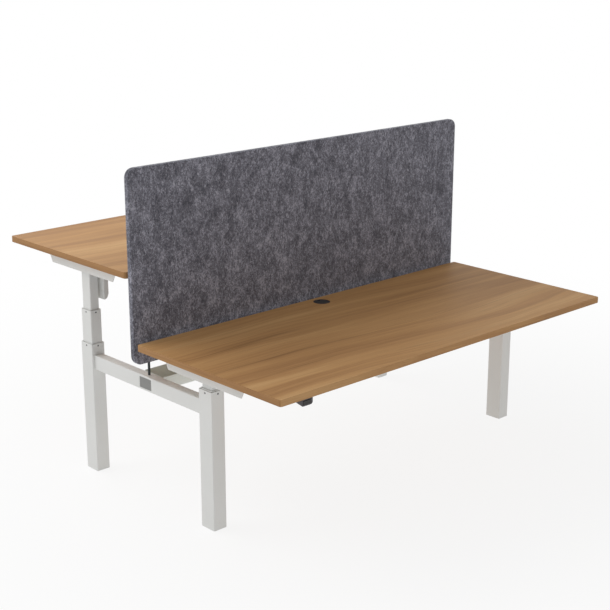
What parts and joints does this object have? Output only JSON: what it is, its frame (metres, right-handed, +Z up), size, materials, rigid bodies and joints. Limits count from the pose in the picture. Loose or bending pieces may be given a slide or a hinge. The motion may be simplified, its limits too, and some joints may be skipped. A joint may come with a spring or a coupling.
{
  "type": "back-to-back sit-stand bench desk",
  "caption": "Back-to-back sit-stand bench with wood worktops on telescopic columns, a shared steel frame, cable tray and a felt privacy screen between the workplaces.",
  "frame": {"origin": "on the floor under the middle of the bench", "axes": "+X along the bench, -Y towards the front workplace, +Z up"},
  "size_m": [1.8, 1.66, 1.305],
  "materials": {
    "oak_board": "matte wood decor",
    "white_powder": "fine white powder coat",
    "felt": "pressed fibre felt",
    "black_plastic": "fine moulded texture",
    "charcoal_plastic": "fine moulded texture",
    "grey_plastic": "coarse moulded texture",
    "glide_plastic": "smooth moulded",
    "dark_steel": "dark satin coat",
    "spindle_steel": "turned"
  },
  "bodies": {
    "frame": {"front_left_outer_tube": "white_powder", "front_left_outer_glide": "glide_plastic", "front_right_outer_tube": "white_powder", "front_right_outer_glide": "glide_plastic", "rear_left_outer_tube": "white_powder", "rear_left_outer_glide": "glide_plastic", "rear_right_outer_tube": "white_powder", "rear_right_outer_glide": "glide_plastic", "left_end_beam": "white_powder", "left_beam_cover": "grey_plastic", "left_screen_post": "dark_steel", "right_end_beam": "white_powder", "right_beam_cover": "grey_plastic", "right_screen_post": "dark_steel", "cable_tray": "white_powder", "screen": "felt"},
    "front_desk": {"front_worktop": "oak_board", "front_grommet_liner": "black_plastic", "front_user_rail": "white_powder", "front_spine_rail": "white_powder", "front_control_box": "charcoal_plastic", "front_handset": "charcoal_plastic", "front_left_inner_tube": "white_powder", "front_left_drive_unit": "white_powder", "front_left_crossbar": "white_powder", "front_right_inner_tube": "white_powder", "front_right_drive_unit": "white_powder", "front_right_crossbar": "white_powder"},
    "front_middle_stage": {"front_left_middle_tube": "white_powder", "front_left_middle_glide": "glide_plastic", "front_right_middle_tube": "white_powder", "front_right_middle_glide": "glide_plastic"},
    "front_lid": {"front_grommet_lid": "black_plastic"},
    "front_rocker_key": {"front_rocker": "black_plastic"},
    "rear_desk": {"rear_worktop": "oak_board", "rear_grommet_liner": "black_plastic", "rear_user_rail": "white_powder", "rear_spine_rail": "white_powder", "rear_control_box": "charcoal_plastic", "rear_handset": "charcoal_plastic", "rear_left_inner_tube": "white_powder", "rear_left_drive_unit": "white_powder", "rear_left_crossbar": "white_powder", "rear_right_inner_tube": "white_powder", "rear_right_drive_unit": "white_powder", "rear_right_crossbar": "white_powder"},
    "rear_middle_stage": {"rear_left_middle_tube": "white_powder", "rear_left_middle_glide": "glide_plastic", "rear_right_middle_tube": "white_powder", "rear_right_middle_glide": "glide_plastic"},
    "rear_lid": {"rear_grommet_lid": "black_plastic"},
    "rear_rocker_key": {"rear_rocker": "black_plastic"},
    "front_left_foot": {"front_left_levelling_foot": "black_plastic"},
    "front_left_spindle": {"front_left_lift_spindle": "spindle_steel"},
    "front_right_foot": {"front_right_levelling_foot": "black_plastic"},
    "front_right_spindle": {"front_right_lift_spindle": "spindle_steel"},
    "rear_left_foot": {"rear_left_levelling_foot": "black_plastic"},
    "rear_left_spindle": {"rear_left_lift_spindle": "spindle_steel"},
    "rear_right_foot": {"rear_right_levelling_foot": "black_plastic"},
    "rear_right_spindle": {"rear_right_lift_spindle": "spindle_steel"}
  },
  "joints": [
    {"name": "front_lift", "type": "slide", "parent": "frame", "child": "front_desk", "axis": [0, 0, 1], "range_m": [0, 0.65]},
    {"name": "front_middle_lift", "type": "slide", "parent": "frame", "child": "front_middle_stage", "axis": [0, 0, 1], "range_m": [0, 0.325]},
    {"name": "front_rocker_tip", "type": "hinge", "parent": "front_desk", "child": "front_rocker_key", "pos_m": [-0.775, -0.821, 0.6067], "axis": [-1, 0, 0], "range_deg": [-6, 6], "stiffness_Nm_per_rad": 0.1},
    {"name": "front_lid_lift", "type": "slide", "parent": "front_desk", "child": "front_lid", "axis": [0, 0, 1], "range_m": [0, 0.05]},
    {"name": "rear_lift", "type": "slide", "parent": "frame", "child": "rear_desk", "axis": [0, 0, 1], "range_m": [-0.267, 0.383]},
    {"name": "rear_middle_lift", "type": "slide", "parent": "frame", "child": "rear_middle_stage", "axis": [0, 0, 1], "range_m": [-0.1335, 0.1915]},
    {"name": "rear_rocker_tip", "type": "hinge", "parent": "rear_desk", "child": "rear_rocker_key", "pos_m": [0.775, 0.821, 0.8737], "axis": [1, 0, 0], "range_deg": [-6, 6], "stiffness_Nm_per_rad": 0.1},
    {"name": "rear_lid_lift", "type": "slide", "parent": "rear_desk", "child": "rear_lid", "axis": [0, 0, 1], "range_m": [0, 0.05]},
    {"name": "front_left_spindle_turn", "type": "hinge", "parent": "front_desk", "child": "front_left_spindle", "pos_m": [-0.826, -0.375, 0.5], "axis": [0, 0, 1], "range_deg": [0, 14626]},
    {"name": "front_right_spindle_turn", "type": "hinge", "parent": "front_desk", "child": "front_right_spindle", "pos_m": [0.826, -0.375, 0.5], "axis": [0, 0, 1], "range_deg": [0, 14626]},
    {"name": "rear_left_spindle_turn", "type": "hinge", "parent": "rear_desk", "child": "rear_left_spindle", "pos_m": [-0.826, 0.375, 0.5], "axis": [0, 0, 1], "range_deg": [-6008, 8618]},
    {"name": "rear_right_spindle_turn", "type": "hinge", "parent": "rear_desk", "child": "rear_right_spindle", "pos_m": [0.826, 0.375, 0.5], "axis": [0, 0, 1], "range_deg": [-6008, 8618]},
    {"name": "front_left_foot_screw", "type": "slide", "parent": "frame", "child": "front_left_foot", "axis": [0, 0, -1], "range_m": [0, 0.01]},
    {"name": "front_right_foot_screw", "type": "slide", "parent": "frame", "child": "front_right_foot", "axis": [0, 0, -1], "range_m": [0, 0.01]},
    {"name": "rear_left_foot_screw", "type": "slide", "parent": "frame", "child": "rear_left_foot", "axis": [0, 0, -1], "range_m": [0, 0.01]},
    {"name": "rear_right_foot_screw", "type": "slide", "parent": "frame", "child": "rear_right_foot", "axis": [0, 0, -1], "range_m": [0, 0.01]}
  ],
  "couplings": [
    {"joint": "front_middle_lift", "follows": "front_lift", "ratio": 0.5},
    {"joint": "rear_middle_lift", "follows": "rear_lift", "ratio": 0.5},
    {"joint": "front_left_spindle_turn", "follows": "front_lift", "rad_per_m": 392.7},
    {"joint": "front_right_spindle_turn", "follows": "front_lift", "rad_per_m": 392.7},
    {"joint": "rear_left_spindle_turn", "follows": "rear_lift", "rad_per_m": 392.7},
    {"joint": "rear_right_spindle_turn", "follows": "rear_lift", "rad_per_m": 392.7}
  ]
}
